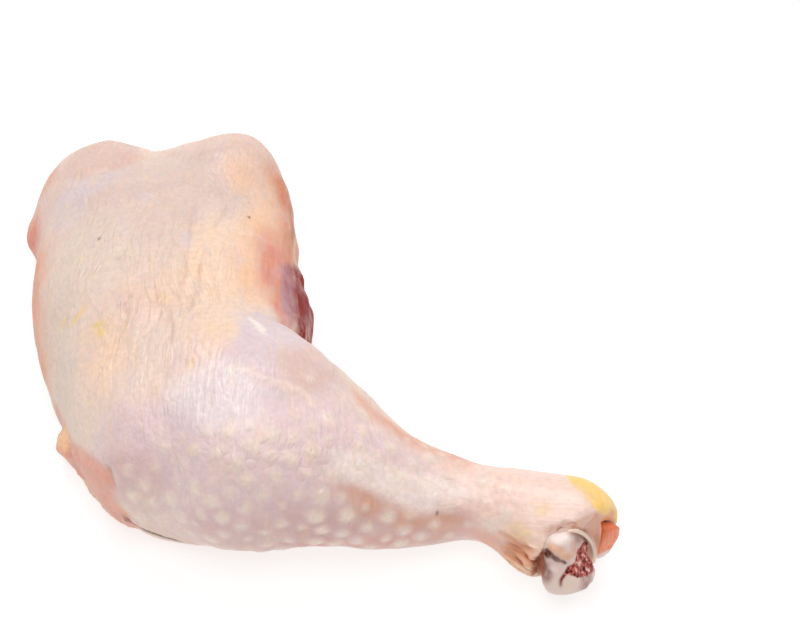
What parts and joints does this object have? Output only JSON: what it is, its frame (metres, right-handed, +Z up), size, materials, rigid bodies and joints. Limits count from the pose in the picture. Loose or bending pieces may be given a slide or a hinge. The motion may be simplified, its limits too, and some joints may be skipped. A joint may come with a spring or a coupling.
{
  "type": "raw chicken leg",
  "caption": "Raw chicken leg, skin on: a plump thigh bent at the knee to a tapering drumstick, cut across at the hock with the knuckled end of the shin bone and a tendon showing.",
  "frame": {"origin": "middle of the bounding box, on the table plane under the leg", "axes": "+X from the knee side towards the cut hock, +Y from the drumstick towards the hip end of the thigh, +Z up out of the outer, skin-covered side"},
  "size_m": [0.1566, 0.1476, 0.0485],
  "materials": {
    "skin": "moist satin, pinkish cream raw skin with mauve, peach and yellow areas",
    "bone": "glossy bluish white cartilage over bone, dark red where it is sawn through",
    "tendon": "moist satin, salmon pink"
  },
  "bodies": {
    "root": {"leg": "skin", "shin_bone": "bone", "hock_tendon": "tendon"}
  },
  "joints": []
}
